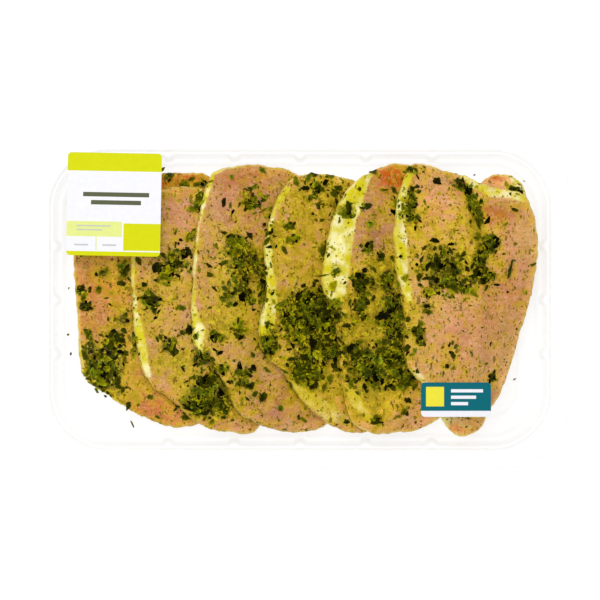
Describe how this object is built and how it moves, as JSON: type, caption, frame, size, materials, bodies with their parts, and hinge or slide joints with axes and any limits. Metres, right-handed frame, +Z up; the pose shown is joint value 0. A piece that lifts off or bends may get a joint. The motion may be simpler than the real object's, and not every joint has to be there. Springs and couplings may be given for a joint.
{
  "type": "meat tray pack",
  "caption": "Shut clear tray of herb-marinated pork slices laid overlapping, with a sealed lid film and two plain labels.",
  "frame": {"origin": "middle of the tray's footprint, on the surface it stands on", "axes": "+X along the tray's long side, towards the end of the last slice; +Y across the tray, towards the side with the larger label; +Z up"},
  "size_m": [0.27, 0.169, 0.041],
  "materials": {
    "clear_tray": "clear thermoformed plastic",
    "clear_film": "clear stretched film",
    "lime_label": "coated paper with lime, pale lime and white fields",
    "teal_label": "coated paper with teal and white fields",
    "marinated_pork": "raw pork, wet with oil and herbs"
  },
  "bodies": {
    "root": {"tray": "clear_tray", "lid_film": "clear_film", "price_label": "lime_label", "quality_label": "teal_label", "slice_1": "marinated_pork", "slice_2": "marinated_pork", "slice_3": "marinated_pork", "slice_4": "marinated_pork", "slice_5": "marinated_pork", "slice_6": "marinated_pork", "slice_7": "marinated_pork"}
  },
  "joints": []
}
